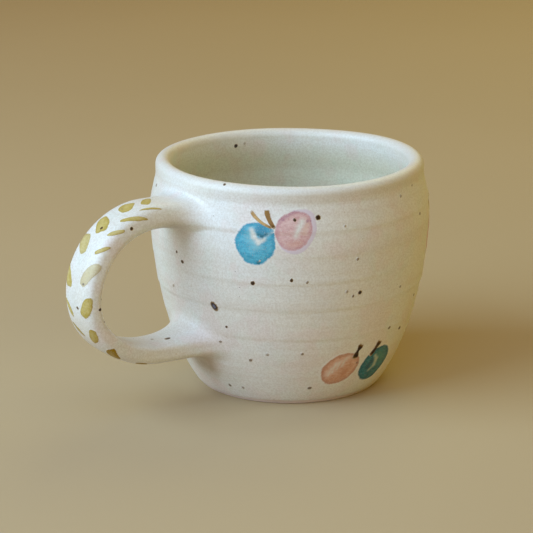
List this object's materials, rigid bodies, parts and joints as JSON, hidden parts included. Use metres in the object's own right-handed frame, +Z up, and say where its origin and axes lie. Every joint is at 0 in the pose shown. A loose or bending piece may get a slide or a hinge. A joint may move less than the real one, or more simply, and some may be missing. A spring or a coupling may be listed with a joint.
{
  "type": "mug",
  "caption": "Hand-thrown round-bellied stoneware mug with a pulled loop handle, rolled lip, speckled satin glaze and painted fruit pairs.",
  "frame": {"origin": "centre of the foot ring on the resting plane", "axes": "+Z up along the axis the mug was thrown on; the handle reaches towards -X; -Y is the side with the two best-seen fruit pairs"},
  "size_m": [0.1292, 0.0911, 0.075],
  "materials": {
    "clay": "bare fired stoneware, slightly rough",
    "slip": "bare fired slip",
    "satin_glaze": "satin warm white glaze with iron specks",
    "liner_glaze": "satin pale grey-green glaze",
    "blue_paint": "brushed translucent blue, satin",
    "pink_paint": "brushed translucent pink, satin",
    "salmon_paint": "brushed translucent salmon, satin",
    "teal_paint": "brushed dark teal, glossy",
    "brown_paint": "iron brown brush line, satin",
    "gold_paint": "olive gold brush dab, satin"
  },
  "bodies": {
    "root": {"thrown_body": "clay", "pulled_handle": "clay", "upper_slip_joint": "slip", "lower_slip_joint": "slip", "liner_glaze": "liner_glaze", "outer_glaze": "satin_glaze", "handle_glaze": "satin_glaze", "upper_blue_fruit": "blue_paint", "upper_pink_fruit": "pink_paint", "upper_stems": "brown_paint", "lower_salmon_fruit": "salmon_paint", "lower_teal_fruit": "teal_paint", "lower_stems": "brown_paint", "right_pink_fruit": "pink_paint", "right_blue_fruit": "blue_paint", "right_stems": "brown_paint", "back_salmon_fruit": "salmon_paint", "back_teal_fruit": "teal_paint", "back_stems": "brown_paint", "rear_blue_fruit": "blue_paint", "rear_pink_fruit": "pink_paint", "rear_stems": "brown_paint", "gold_dabs": "gold_paint"}
  },
  "joints": []
}
